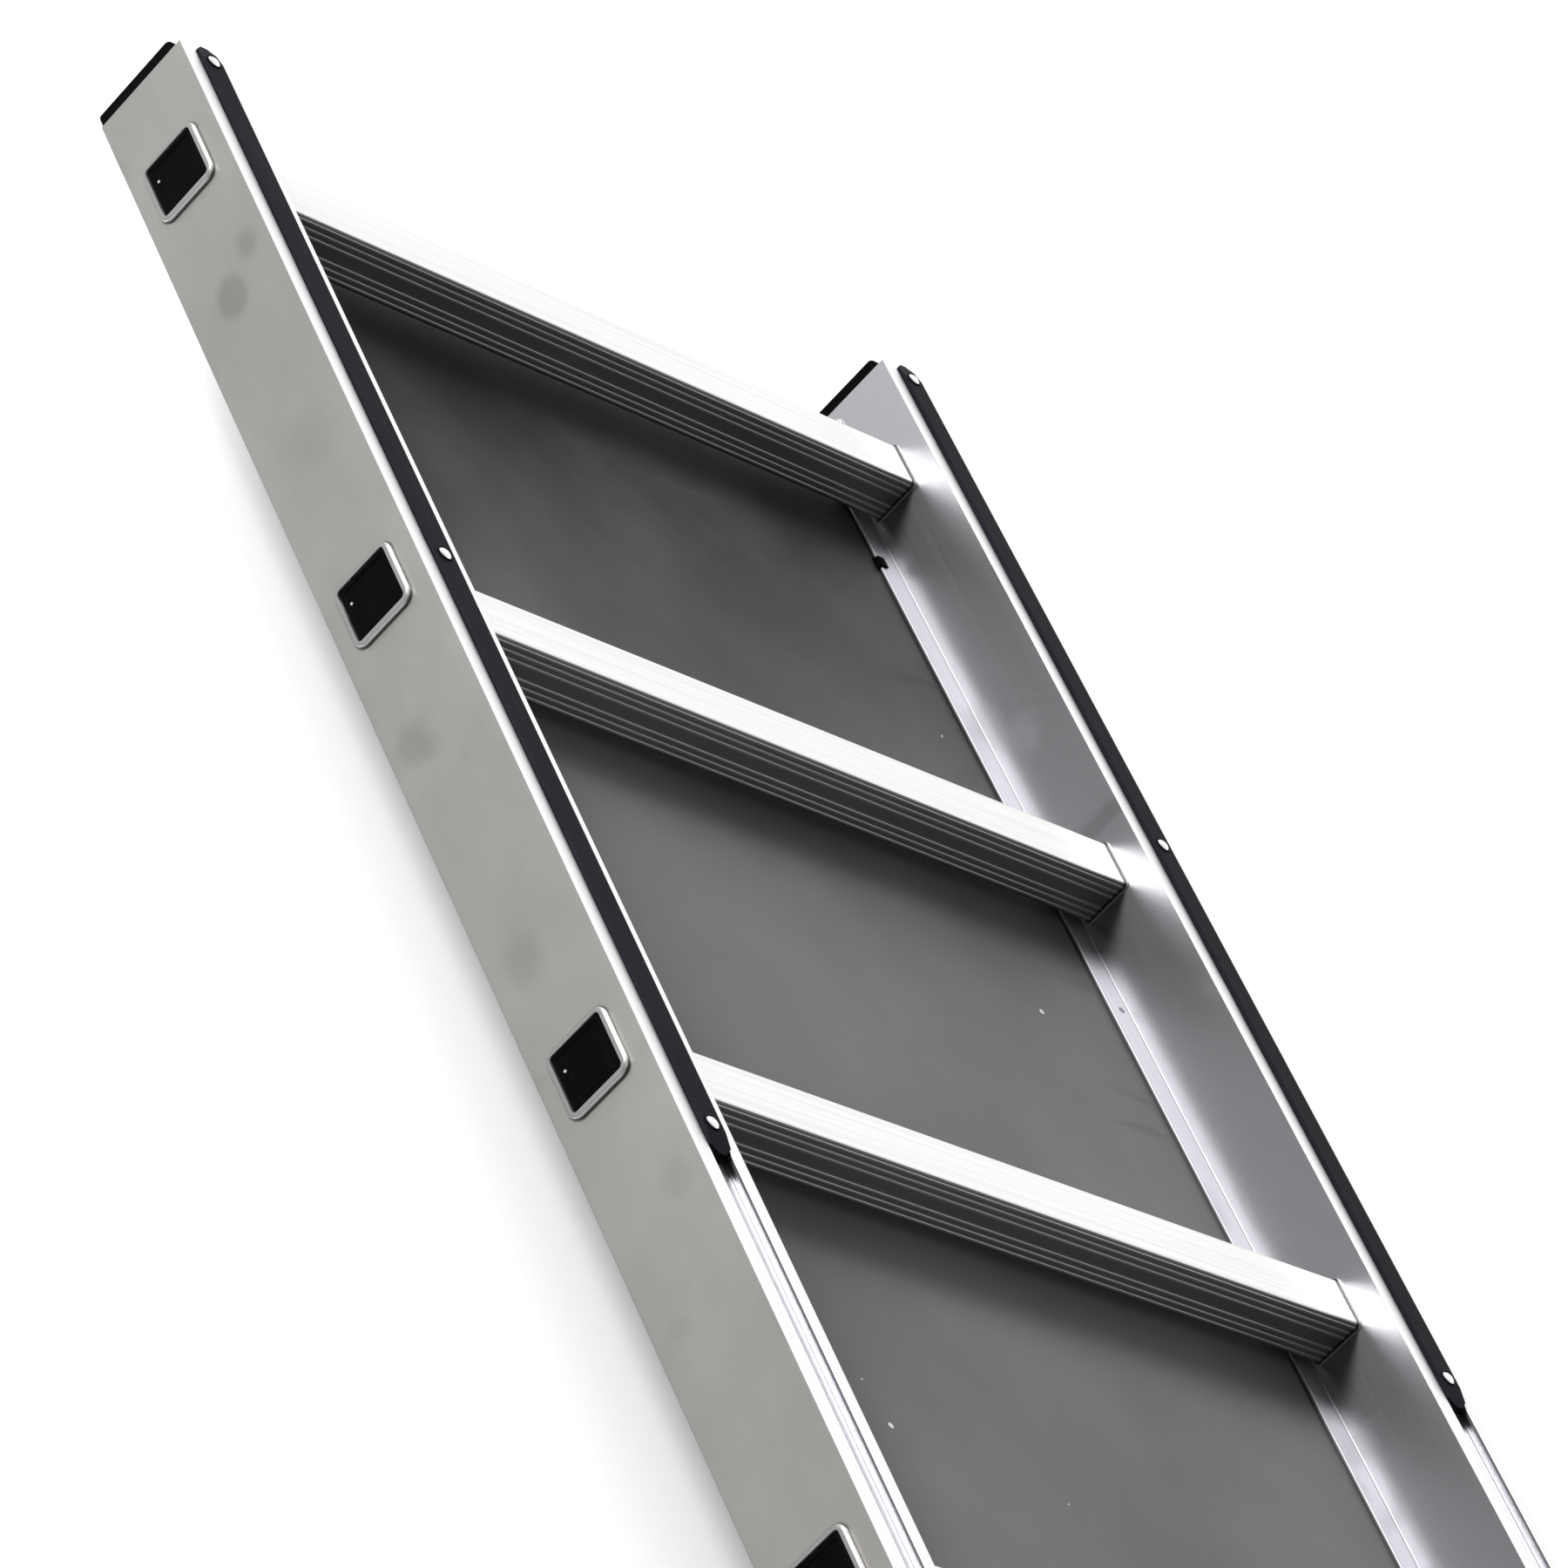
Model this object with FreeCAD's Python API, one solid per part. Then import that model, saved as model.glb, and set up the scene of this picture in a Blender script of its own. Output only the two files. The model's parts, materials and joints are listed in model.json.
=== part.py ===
import FreeCAD, Part
import math
import os

# Two-section extension ladder lying on its back, drawn out by four rungs. Millimetres.
# X runs across the rungs, Y up the ladder from its feet to its head, Z out of the climbing side.
# The fly section lies over the base section, and slides along it.

os.makedirs("parts", exist_ok=True)
Vec = FreeCAD.Vector

# Driving dimensions
rungPitch = 280.0
rungCount = 7
sectionWidth = 510.0      # over the outer faces of the two stiles
headRoom = 62.0           # top rung's centre to the stile's top end
footRoom = 90.0           # bottom rung's centre to the stile's bottom end
rungsOut = 4              # how many rungs the fly is drawn out by
sectionGap = 4.0          # air between the two sections

# Stile: a box with a T groove along its front and two inward lips that make a channel
stileDepth = 60.0
stileThick = 28.0
stileWall = 2.2
stileCorner = 1.4
grooveMouth = 12.5
grooveInside = 18.0
grooveLip = 2.0           # thickness of the two edges over the groove
grooveDepth = 6.0
lipReach = 14.0           # how far the lips stand in from the stile
lipThick = 2.0
backLipZ = 4.0            # underside of the rear lip
channelHeight = 4.0       # the slot between the two lips, where the board runs

# Rung: a square tube with ribbed treads, swaged into the stiles
rungSize = 28.0
rungWall = 2.0
rungCorner = 2.0
rungZ = 29.0              # rung's centre above the stile's back
ribHeight = 0.5
ribWidth = 1.3
ribPlaces = (4.0, 7.7, 11.3)   # from the tread's middle line, on both sides of it
socketSize = 37.5         # the swaged rim on the outer face
socketHole = 31.5
socketProud = 2.4
socketFloor = 0.5         # the rim's floor, where it joins the tube
beadSize = 30.4           # the bead against the stile's inner face
beadThick = 1.0
plugRecess = 0.8
plugDepth = 14.0

# Head and foot pieces
capThick = 7.5
capEdge = 1.8             # rounding of the cap's outer edges
capHeight = 53.0          # the cap stops short of the front groove
capNib = 1.4
capPlug = 18.0
capPlugWall = 2.0
capSideAir = 0.2          # between a plug and the stile's walls
screwIn = 10.0            # cap screws, from the stile's end
footScrewIn = 20.0        # foot screws, from the stile's end
screwZ = 20.0             # above the stile's back
footDrop = 16.0           # rubber below the stile's end
footPlug = 30.0
footExtra = 6.0           # how far the foot stands inwards of the stile
slotPitch = 7.0           # the foot's tread
slotWide = 2.5

# Wear strips in the fly's front groove
stripLength = 696.0
stripProud = 2.2
stripTaper = 12.0         # length of the slope at each end
stripDrop = 1.8           # how far the slope falls
stripCorner = 4.0         # the cut corners, seen from the front
stripSide = 0.2           # air at each side of the strip
rivetHead = 3.2
rivetDome = 1.5
rivetShank = 1.6
holeAir = 0.05            # between a shank and its hole
stripRivets = (12.0, 342.0, 680.0)   # from the stile's top end

# Guide brackets on the base's head, which hold the fly down and in line
guideSheet = 2.5
guideLength = 36.0
guideStart = 2.0          # below the base's top end
guideAir = 4.5            # room for the swaged rims to pass
guideLap = 7.2            # how far the bracket reaches over the fly's front
guideRivetIn = 8.0        # from the bracket's ends
guideRivetZ = (18.0, 44.0)
padThick = 3.6
padAir = 0.4

# Shoes under the fly's foot, which run in the base's groove
shoeLength = 60.0
shoeAir = 0.3

# Rung locks beside the fly's bottom rung
hookThick = 8.0
hookPlace = 43.5          # near side of the hook from the stile's outer face
pivotAbove = 40.0         # pivot above the rung's centre
pivotZ = 24.0             # pivot above the fly's back
pivotRadius = 4.0
pivotAir = 0.05
bossRadius = 10.0
seatAir = 0.3
lockSheet = 2.5           # the bracket's plate
lockRivets = (-9.0, 26.0)  # along Y from the pivot
lockRivetZ = 44.0         # above the fly's back
armEdge = 9.0             # the hook arm's half width beside the pivot
toeThick = 3.8            # the hook's toe, behind the base's rung
toeReach = 7.0            # from the rung's middle line to the toe's end
tailLength = 24.0
tailWidth = 10.0
bracketBoss = 7.5
bracketLow = 15.0         # the bracket's ends, from the pivot
bracketHigh = 32.0
bracketFront = 50.0       # its front edge above the fly's back
pivotAcross = 15.0        # the bolt's head over its corners
pivotHead = 5.0
washerRadius = 8.0
washerThick = 1.4
springWire = 0.9
springRadius = 8.9        # of the wire's middle line
springTurns = 5
springPitch = 1.6
springFrom = 4.2          # first turn, from the stile's inner face
stopRadius = 2.5
stopAir = 0.1
stopDrop = 8.0            # stop pin below the pivot, along Z

# Board behind the fly's upper rungs
boardThick = 3.0
boardSideAir = 2.0
boardRungs = 4            # how many bays it covers
clipFromRung = 46.0
clipLength = 8.0
clipReach = 3.4           # past the lip's edge
clipLap = 4.2             # over the lip
clipThick = 0.9
boardEnd = 2.0            # the board's ends, short of the rungs' far faces
boardCorner = 4.0

# Places
stileLength = headRoom + (rungCount - 1) * rungPitch + footRoom
drawn = rungsOut * rungPitch
overall = footDrop + stileLength + drawn + capThick + capNib
baseFoot = -overall / 2 + footDrop
baseHead = baseFoot + stileLength
flyFoot = baseFoot + drawn
flyHead = baseHead + drawn
flyBack = stileDepth + sectionGap
halfWidth = sectionWidth / 2
mid = stileThick / 2
frontLipZ = backLipZ + lipThick + channelHeight


def cornerArc(before, corner, after):
    """The two tangent points and the middle point of a rounded corner."""
    (ax, ay), (cx, cy, radius), (bx, by) = before[:2], corner, after[:2]
    ux, uy = ax - cx, ay - cy
    vx, vy = bx - cx, by - cy
    lu, lv = math.hypot(ux, uy), math.hypot(vx, vy)
    ux, uy, vx, vy = ux / lu, uy / lu, vx / lv, vy / lv
    half = math.acos(max(-1.0, min(1.0, ux * vx + uy * vy))) / 2
    run = radius / math.tan(half)
    sx, sy = ux + vx, uy + vy
    length = math.hypot(sx, sy)
    reach = radius / math.sin(half) - radius
    middle = (cx + sx / length * reach, cy + sy / length * reach)
    return (cx + ux * run, cy + uy * run), middle, (cx + vx * run, cy + vy * run)


def face(points, place):
    """A face from (a, b, radius) corners; place turns (a, b) into a vector."""
    stretches = []
    for i, corner in enumerate(points):
        if corner[2] > 0:
            stretches.append(cornerArc(points[i - 1], corner, points[(i + 1) % len(points)]))
        else:
            stretches.append((corner[:2],))
    edges = []
    for i, here in enumerate(stretches):
        if len(here) == 3:
            edges.append(Part.Arc(*[place(*p) for p in here]).toShape())
        start, end = here[-1], stretches[(i + 1) % len(stretches)][0]
        if math.hypot(start[0] - end[0], start[1] - end[1]) > 1e-6:
            edges.append(Part.LineSegment(place(*start), place(*end)).toShape())
    return Part.Face(Part.Wire(edges))


def alongX(points, x, length):
    """Extrudes a (y, z) outline along X."""
    return face(points, lambda y, z: Vec(x, y, z)).extrude(Vec(length, 0, 0))


def alongY(points, y, length):
    """Extrudes an (x, z) outline along Y."""
    return face(points, lambda x, z: Vec(x, y, z)).extrude(Vec(0, length, 0))


def alongZ(points, z, length):
    """Extrudes an (x, y) outline along Z."""
    return face(points, lambda x, y: Vec(x, y, z)).extrude(Vec(0, 0, length))


def rectangle(a0, b0, a1, b1, radius=0.0):
    return [(a0, b0, radius), (a1, b0, radius), (a1, b1, radius), (a0, b1, radius)]


def square(size, centre, radius):
    a, b, half = centre[0], centre[1], size / 2
    return rectangle(a - half, b - half, a + half, b + half, radius)


def box(low, high):
    size = [h - l for l, h in zip(low, high)]
    return Part.makeBox(*size, Vec(*low))


def rodX(radius, x0, x1, y, z):
    return Part.makeCylinder(radius, x1 - x0, Vec(x0, y, z), Vec(1, 0, 0))


def domeRivet(at, out, head=rivetHead, dome=rivetDome, shank=rivetShank, grip=4.0):
    """A rivet whose domed head stands on a face at point at, with out as the outward direction."""
    sphere = (head * head + dome * dome) / (2 * dome)
    ball = Part.makeSphere(sphere, at - out * (sphere - dome))
    slab = Part.makeCylinder(head, dome + 0.5, at, out)
    pin = Part.makeCylinder(shank, grip, at - out * grip, out)
    return ball.common(slab).fuse(pin).removeSplitter()


def screwHole(y):
    """The hole through a stile's inner face, and through the plug inside it."""
    return rodX(rivetShank + holeAir, mid, stileThick + 1, y, screwZ)


def onSide(shape, side):
    """Puts a shape drawn on the left stile, with x from its outer face inwards, on a side."""
    shape = shape.copy()
    if side == "right":
        shape = shape.mirror(Vec(0, 0, 0), Vec(1, 0, 0))
        shape.translate(Vec(halfWidth, 0, 0))
    else:
        shape.translate(Vec(-halfWidth, 0, 0))
    return shape


def bothSides(shape):
    return Part.Compound([onSide(shape, "left"), onSide(shape, "right")])


def onFly(shape):
    shape = shape.copy()
    shape.translate(Vec(0, 0, flyBack))
    return shape


def save(name, shape):
    for solid in shape.Solids:
        if not solid.isValid():
            raise ValueError(name + " has a bad solid")
    if len(shape.Solids) == 1:
        shape = shape.Solids[0]
    shape.exportStep("parts/" + name + ".step")
    print(name, len(shape.Solids), "solid(s)", round(shape.Volume / 1000.0, 1), "cm3")


def rungHeights(head):
    """Each rung's centre along Y, from the top rung down."""
    return [head - headRoom - i * rungPitch for i in range(rungCount)]


def stile(foot, head, screws):
    """One stile, drawn on the left with its back at z = 0. Screws are places along Y."""
    mouth, inside = grooveMouth / 2, grooveInside / 2
    under = stileDepth - grooveLip
    floor = stileDepth - grooveDepth
    tip = stileThick + lipReach
    outline = [(0, 0, stileCorner), (stileThick, 0, stileCorner)]
    for low in (backLipZ, frontLipZ):
        outline += [(stileThick, low, 0.6), (tip, low, 0.7)]
        outline += [(tip, low + lipThick, 0.7), (stileThick, low + lipThick, 0.6)]
    outline += [(stileThick, stileDepth, stileCorner), (mid + mouth, stileDepth, 0.5)]
    outline += [(mid + mouth, under, 0.4), (mid + inside, under, 0.4), (mid + inside, floor, 0.8)]
    outline += [(mid - inside, floor, 0.8), (mid - inside, under, 0.4), (mid - mouth, under, 0.4)]
    outline += [(mid - mouth, stileDepth, 0.5), (0, stileDepth, stileCorner)]
    bar = alongY(outline, foot, head - foot)
    hollow = rectangle(stileWall, stileWall, stileThick - stileWall, floor - stileWall, 1.0)
    bar = bar.cut(alongY(hollow, foot - 1, head - foot + 2))
    side, tread = rungSize / 2 + 0.1, rungSize / 2 + ribHeight + 0.1
    for y in rungHeights(head):
        hole = rectangle(y - tread, rungZ - side, y + tread, rungZ + side, rungCorner)
        bar = bar.cut(alongX(hole, -1, stileThick + 2))
    for y in screws:
        bar = bar.cut(screwHole(y))
    return bar


def rung():
    """One rung at y = 0, with its ribbed treads facing up and down the ladder."""
    half = rungSize / 2
    ribs = sorted([-p for p in ribPlaces] + list(ribPlaces))
    outline = [(-half, rungZ - half, rungCorner), (half, rungZ - half, rungCorner)]
    for out, order in ((1, ribs), (-1, ribs[::-1])):
        for p in order:
            a, b = p - out * ribWidth / 2, p + out * ribWidth / 2
            crest = out * (half + ribHeight)
            outline += [(out * half, rungZ + a, 0), (crest, rungZ + a, 0.2)]
            outline += [(crest, rungZ + b, 0.2), (out * half, rungZ + b, 0)]
        if out == 1:
            outline += [(half, rungZ + half, rungCorner), (-half, rungZ + half, rungCorner)]
    tube = alongX(outline, -halfWidth, sectionWidth)
    for side in (-1, 1):
        outer = side * (halfWidth + socketProud)
        rim = alongX(square(socketSize, (0, rungZ), 6.5), side * halfWidth, side * socketProud)
        edges = [e for e in rim.Edges if all(abs(v.X - outer) < 1e-6 for v in e.Vertexes)]
        tube = tube.fuse(rim.makeFillet(1.5, edges))
        inner = side * (halfWidth - stileThick - beadThick)
        bead = alongX(square(beadSize, (0, rungZ), 3.0), inner, side * beadThick)
        edges = [e for e in bead.Edges if all(abs(v.X - inner) < 1e-6 for v in e.Vertexes)]
        tube = tube.fuse(bead.makeFillet(0.6, edges))
    bore = square(rungSize - 2 * rungWall, (0, rungZ), 1.6)
    tube = tube.cut(alongX(bore, -halfWidth - 5, sectionWidth + 10))
    for side in (-1, 1):
        floor = side * (halfWidth + socketFloor)
        mouth = alongX(square(socketHole, (0, rungZ), 2.2), floor, side * 5)
        tube = tube.cut(mouth)
    return tube.removeSplitter()


def rungPlug():
    """A plug that closes a rung's left end."""
    seat = square(socketHole - 0.3, (0, rungZ), 2.0)
    stem = square(rungSize - 2 * rungWall - 0.2, (0, rungZ), 1.5)
    front, back = plugRecess - socketProud, -socketFloor
    plug = alongX(seat, front, back - front).fuse(alongX(stem, back, plugDepth))
    core = square(rungSize - 2 * rungWall - 4, (0, rungZ), 1.0)
    plug = plug.cut(alongX(core, 1.5, plugDepth))
    return plug.removeSplitter()


def endPlug(end, depth, inset=0.0):
    """The block that fits in a stile's hollow from y = end, inset on every side."""
    low = stileWall + capSideAir + inset
    high = stileDepth - grooveDepth - stileWall - capSideAir - inset
    return alongY(rectangle(low, low, stileThick - low, high, 1.0), end, depth)


def endCap(end, out):
    """A cap plugged into a stile's end; out is 1 at the head and -1 at the foot."""
    edge = 0.3
    plate = alongY(rectangle(edge, edge, stileThick - edge, capHeight, 2.5), end, out * capThick)
    outer = end + out * capThick
    rounded = [e for e in plate.Edges if all(abs(v.Y - outer) < 1e-6 for v in e.Vertexes)]
    plate = plate.makeFillet(capEdge, rounded)
    tab = alongY(rectangle(6, capHeight - 9, 17, capHeight - 3, 1.5), outer - out, out * (capNib + 1))
    plug = endPlug(end, -out * capPlug).cut(endPlug(end, -out * 2 * capPlug, capPlugWall))
    return plate.fuse(plug.cut(screwHole(end - out * screwIn))).fuse(tab).removeSplitter()


def foot():
    """A rubber foot with a ribbed tread, plugged into the base stile's end."""
    sole = baseFoot - footDrop
    inner = stileThick + footExtra
    pad = alongY(rectangle(0, 0, inner, stileDepth, 3.0), baseFoot, -footDrop)
    edges = [e for e in pad.Edges if all(abs(v.Y - sole) < 1e-6 for v in e.Vertexes)]
    pad = pad.makeFillet(2.0, edges)
    z = slotPitch + 1
    while z + slotPitch < stileDepth:
        pad = pad.cut(box((-1, sole - 1, z), (inner + 1, sole + slotWide, z + slotWide)))
        z += slotPitch
    plug = endPlug(baseFoot, footPlug).cut(screwHole(baseFoot + footScrewIn))
    return pad.fuse(plug).removeSplitter()


def strip():
    """A wear strip in the fly's left front groove, with tapered ends."""
    low, top = flyHead - stripLength, flyHead
    floor, crest = stileDepth - grooveDepth + 0.1, stileDepth + stripProud
    edge, corner = crest - stripDrop, stripCorner
    side = [(low, floor, 0), (top, floor, 0), (top, edge, 0), (top - stripTaper, crest, 0)]
    side += [(low + stripTaper, crest, 0), (low, edge, 0)]
    half = grooveMouth / 2 - stripSide
    bar = alongX(side, mid - half, 2 * half)
    plan = [(mid - half, low + corner, 0), (mid - half + corner, low, 0), (mid + half - corner, low, 0)]
    plan += [(mid + half, low + corner, 0), (mid + half, top - corner, 0)]
    plan += [(mid + half - corner, top, 0), (mid - half + corner, top, 0), (mid - half, top - corner, 0)]
    return bar.common(alongZ(plan, 0, 100))


def guideOutline():
    """The bracket's sheet, from the base's outer face out and over the fly's front edge."""
    top = flyBack + stileDepth + padAir + padThick
    air, sheet = guideAir, guideSheet
    outline = [(0, 8, 0), (0, 56, 1.5), (-air, 62, 1.5), (-air, top, 1.0), (guideLap, top, 0)]
    outline += [(guideLap, top + sheet, 1.0), (-air - sheet, top + sheet, 3.0)]
    outline += [(-air - sheet, 61, 4.0), (-sheet, 55, 4.0), (-sheet, 8, 0)]
    return outline


def guidePad():
    """A nylon corner pad inside the bracket, round the fly's outer front edge."""
    top = flyBack + stileDepth
    low = flyBack + rungZ + socketSize / 2 + 2.0
    outline = [(-guideAir, low, 0), (-padAir, low, 0.8), (-padAir, top + padAir, 0.5)]
    outline += [(guideLap, top + padAir, 0.8), (guideLap, top + padAir + padThick, 0)]
    outline += [(-guideAir, top + padAir + padThick, 1.2)]
    return alongY(outline, guideFoot + 1.0, guideLength - 2.0)


def shoe():
    """A slide shoe on the fly's back, with a T head in the base's groove."""
    half, head = grooveMouth / 2 - shoeAir, grooveInside / 2 - shoeAir - 0.1
    neck = stileDepth - grooveLip - shoeAir
    floor = stileDepth - grooveDepth + shoeAir
    plate = stileDepth + 0.6
    outline = [(mid - 11, plate, 0), (mid - half, plate, 0), (mid - half, neck, 0), (mid - head, neck, 0)]
    outline += [(mid - head, floor, 0.8), (mid + head, floor, 0.8), (mid + head, neck, 0)]
    outline += [(mid + half, neck, 0), (mid + half, plate, 0), (mid + 11, plate, 0)]
    outline += [(mid + 11, flyBack, 0), (mid - 11, flyBack, 0)]
    return alongY(outline, flyFoot + 2.0, shoeLength)


def lockBracket(pivot):
    """The plate and boss on the fly stile's inner face that carry the lock's pivot."""
    y, z = pivot
    low, high = y - bracketLow, y + bracketHigh
    outline = rectangle(low, frontLipZ + lipThick + 0.6, high, bracketFront, 3.0)
    plate = alongX(outline, stileThick, lockSheet)
    boss = rodX(bracketBoss, stileThick, hookPlace - 0.4, y, z)
    bore = rodX(pivotRadius, stileThick - 1, hookPlace + 1, y, z)
    lock = plate.fuse(boss).cut(bore)
    for along in lockRivets:
        hole = rodX(rivetShank + holeAir, stileThick - 1, stileThick + lockSheet + 1, y + along, lockRivetZ)
        lock = lock.cut(hole)
    return lock.removeSplitter()


def lockHook(pivot, rungY):
    """The hook in rest: its seat on the base's rung, its toe behind it, its tail above the pivot."""
    y, z = pivot
    seat = rungY + rungSize / 2 + ribHeight + seatAir
    rungBack = rungZ - rungSize / 2 - flyBack
    rungFront = rungZ + rungSize / 2 - flyBack
    toe, toeBack = rungY + toeReach, rungBack - 0.6 - toeThick
    outline = [(seat, rungFront - 1, 1.5), (seat, rungBack - 0.6, 1.0), (toe, rungBack - 0.6, 0.8)]
    outline += [(toe, toeBack, 1.5), (seat + 12, toeBack, 6.0)]
    outline += [(seat + 21, rungBack + 8, 8.0), (y + armEdge, z - 12, 6.0)]
    outline += [(y + armEdge, z, 0), (y - armEdge, z, 0)]
    outline += [(y - armEdge, z - 12, 6.0), (seat + 4, rungFront + 4, 6.0)]
    arm = alongX(outline, hookPlace, hookThick)
    boss = rodX(bossRadius, hookPlace, hookPlace + hookThick, y, z)
    half = tailWidth / 2
    tail = alongX(rectangle(y, z - half, y + tailLength, z + half, 3.5), hookPlace, hookThick)
    bore = rodX(pivotRadius + pivotAir, hookPlace - 1, hookPlace + hookThick + 1, y, z)
    return arm.fuse(boss).fuse(tail).cut(bore).removeSplitter()


def lockPivot(pivot):
    """The pivot bolt, with its washer and head inboard of the hook."""
    y, z = pivot
    near = hookPlace + hookThick + 0.3
    shank = rodX(pivotRadius, stileThick + 0.2, near + 4, y, z)
    washer = rodX(washerRadius, near, near + washerThick, y, z)
    turns = [math.radians(60 * i) for i in range(6)]
    reach = pivotAcross / 2
    corners = [(y + reach * math.cos(t), z + reach * math.sin(t), 0) for t in turns]
    head = alongX(corners, near + washerThick, pivotHead)
    return shank.fuse(washer).fuse(head).removeSplitter()


def lockSpring(pivot):
    """The close-wound torsion spring on the bracket's boss, as the solid of its turns."""
    y, z = pivot
    coil = None
    for i in range(springTurns):
        at = Vec(stileThick + springFrom + i * springPitch, y, z)
        turn = Part.makeTorus(springRadius, springWire, at, Vec(1, 0, 0))
        coil = turn if coil is None else coil.fuse(turn)
    return coil


def board():
    """The board in the channels behind the fly's upper rungs."""
    reach = halfWidth - stileThick - boardSideAir
    back = flyBack + backLipZ + lipThick + (channelHeight - boardThick) / 2
    far = rungSize / 2 - boardEnd
    top = rungHeights(flyHead)[0] + far
    low = rungHeights(flyHead)[boardRungs] - far
    return alongZ(rectangle(-reach, low, reach, top, boardCorner), back, boardThick)


def boardClip(y):
    """A clip that snaps on the front lip's edge and keeps the board from rattling."""
    tip = stileThick + lipReach
    low, over = frontLipZ - 0.3, frontLipZ + lipThick + 0.1
    outline = [(tip + 0.1, low, 0), (tip + clipReach, low, 0.5), (tip + clipReach, low + clipThick, 0.4)]
    outline += [(tip + clipThick, over + clipThick, 0.5), (tip - clipLap, over + clipThick, 0.4)]
    outline += [(tip - clipLap, over, 0), (tip + 0.1, over, 0)]
    return onFly(alongY(outline, y - clipLength / 2, clipLength))


guideFoot = baseHead - guideStart - guideLength
flyRungs = rungHeights(flyHead)
baseRungs = rungHeights(baseHead)
lockRung = flyRungs[-1]
pivot = (lockRung + pivotAbove, pivotZ)

# Stiles
baseScrewRows = (baseHead - screwIn, baseFoot + footScrewIn)
flyScrewRows = (flyHead - screwIn, flyFoot + screwIn)
baseStile = stile(baseFoot, baseHead, baseScrewRows)
flyStile = onFly(stile(flyFoot, flyHead, flyScrewRows))
for side in ("left", "right"):
    save("base_stile_" + side, onSide(baseStile, side))
    save("fly_stile_" + side, onSide(flyStile, side))

# Rungs and the plugs in their ends
oneRung = rung()
onePlug = bothSides(rungPlug())
for section, rows, lift in (("base", baseRungs, 0), ("fly", flyRungs, flyBack)):
    plugs = []
    for i, y in enumerate(rows):
        tube, pair = oneRung.copy(), onePlug.copy()
        tube.translate(Vec(0, y, lift))
        pair.translate(Vec(0, y, lift))
        save(section + "_rung_" + str(i + 1), tube)
        plugs += pair.Solids
    save(section + "_rung_plugs", Part.Compound(plugs))

# Caps, feet and their screws
for side in ("left", "right"):
    save("base_top_cap_" + side, onSide(endCap(baseHead, 1), side))
    save("base_foot_" + side, onSide(foot(), side))
    save("fly_top_cap_" + side, onSide(onFly(endCap(flyHead, 1)), side))
    save("fly_bottom_cap_" + side, onSide(onFly(endCap(flyFoot, -1)), side))
inwards = Vec(1, 0, 0)
for section, rows, lift in (("base", baseScrewRows, 0), ("fly", flyScrewRows, flyBack)):
    screws = [bothSides(domeRivet(Vec(stileThick, y, lift + screwZ), inwards)) for y in rows]
    save(section + "_cap_screws", Part.Compound([s for pair in screws for s in pair.Solids]))

# Wear strips and their rivets
oneStrip = onFly(strip())
stripTop = flyBack + stileDepth + stripProud
stripGrip = grooveDepth + stripProud - 0.2
stripPins = []
for below in stripRivets:
    at = Vec(mid, flyHead - below, stripTop)
    hole = Part.makeCylinder(rivetShank + holeAir, 2 * stripGrip, at - Vec(0, 0, stripGrip))
    oneStrip = oneStrip.cut(hole)
    stripPins += bothSides(domeRivet(at, Vec(0, 0, 1), grip=stripGrip)).Solids
for side in ("left", "right"):
    save("wear_strip_" + side, onSide(oneStrip, side))
save("strip_rivets", Part.Compound(stripPins))

# Guide brackets on the base's head
bracket = alongY(guideOutline(), guideFoot, guideLength)
guidePins = []
for y in (guideFoot + guideRivetIn, guideFoot + guideLength - guideRivetIn):
    for z in guideRivetZ:
        pin = domeRivet(Vec(-guideSheet, y, z), Vec(-1, 0, 0), grip=guideSheet - 0.1)
        guidePins += bothSides(pin).Solids
        bracket = bracket.cut(rodX(rivetShank + holeAir, -guideSheet - 1, 1, y, z))
for side in ("left", "right"):
    save("guide_bracket_" + side, onSide(bracket, side))
    save("guide_pad_" + side, onSide(guidePad(), side))
    save("slide_shoe_" + side, onSide(shoe(), side))
save("guide_rivets", Part.Compound(guidePins))

# Rung locks
for side in ("left", "right"):
    save("lock_bracket_" + side, onSide(onFly(lockBracket(pivot)), side))
    save("lock_hook_" + side, onSide(onFly(lockHook(pivot, lockRung)), side))
    save("lock_pivot_" + side, onSide(onFly(lockPivot(pivot)), side))
    save("lock_spring_" + side, onSide(onFly(lockSpring(pivot)), side))
plateFace = stileThick + lockSheet
stopY = pivot[0] - armEdge - stopRadius - stopAir
stopPin = rodX(stopRadius, plateFace, hookPlace + hookThick, stopY, pivot[1] - stopDrop)
save("lock_stop_pins", bothSides(onFly(stopPin)))
lockPins = []
for along in lockRivets:
    at = Vec(plateFace, pivot[0] + along, flyBack + lockRivetZ)
    lockPins += bothSides(domeRivet(at, inwards, grip=lockSheet - 0.1)).Solids
save("lock_rivets", Part.Compound(lockPins))

# Board and its clips
save("backing_board", board())
clipRows = [flyRungs[0] - clipFromRung, flyRungs[boardRungs - 1] - clipFromRung]
save("board_clips", Part.Compound([s for y in clipRows for s in bothSides(boardClip(y)).Solids]))
print("overall", overall, "section", stileLength)
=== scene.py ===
import json
import math
import bmesh
import bpy
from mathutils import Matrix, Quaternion, Vector


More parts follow.
